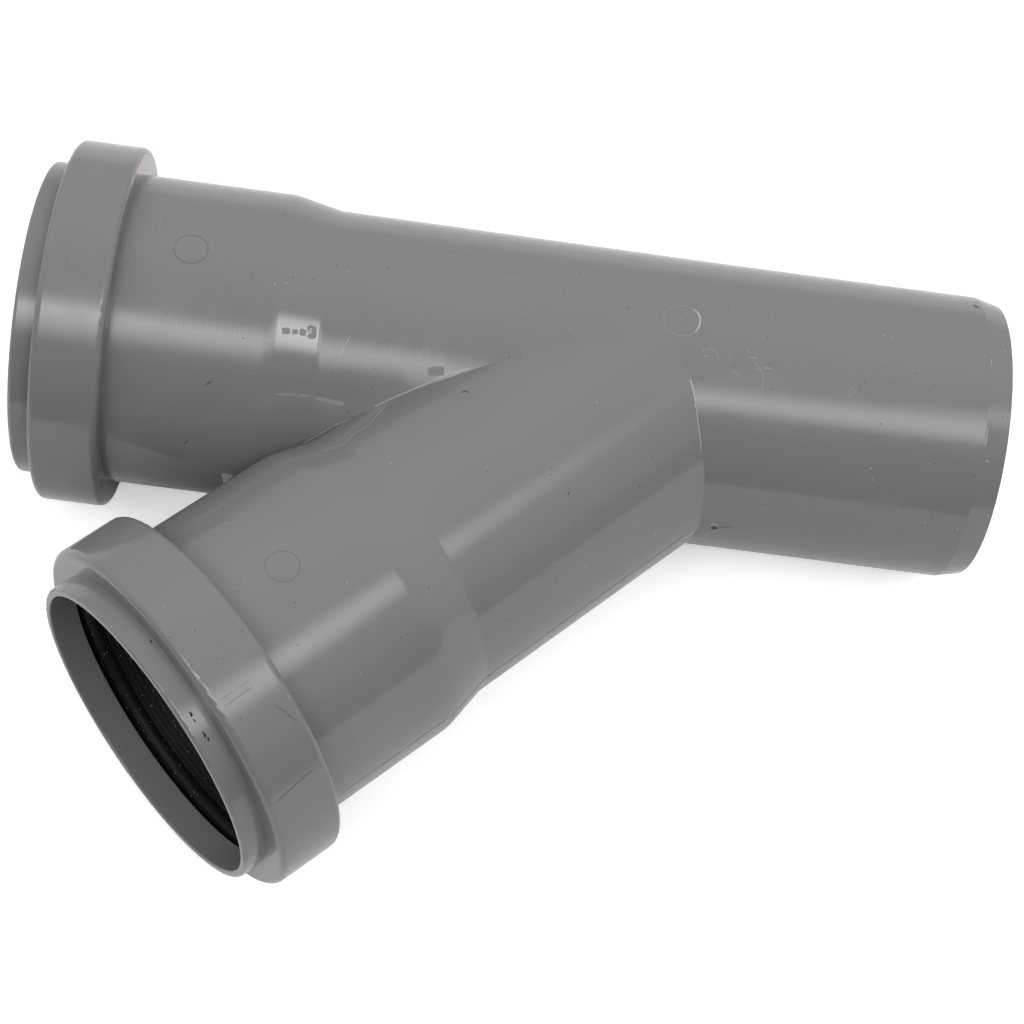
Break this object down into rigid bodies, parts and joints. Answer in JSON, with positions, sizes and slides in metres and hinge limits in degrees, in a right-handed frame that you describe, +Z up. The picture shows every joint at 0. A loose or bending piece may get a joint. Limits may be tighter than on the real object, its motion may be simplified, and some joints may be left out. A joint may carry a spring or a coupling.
{
  "type": "pipe tee, 45 degree branch",
  "caption": "Grey push-fit waste pipe branch with a plain chamfered spigot, a ring-seal socket in line with it and a ring-seal socket on a 45 degree side arm.",
  "frame": {"origin": "centre of the spigot's end face", "axes": "+X out of the spigot along the run, the branch leaves towards -X and -Y, +Z up, square to the plane of symmetry"},
  "size_m": [0.167, 0.1278, 0.0634],
  "materials": {
    "grey_polypropylene": "satin moulded polypropylene with fine scratches, specks and thin flash at the parting line",
    "black_rubber": "smooth black rubber with fine ribs round the lip"
  },
  "bodies": {
    "root": {"wye_body": "grey_polypropylene", "run_seal": "black_rubber", "branch_seal": "black_rubber"}
  },
  "joints": []
}
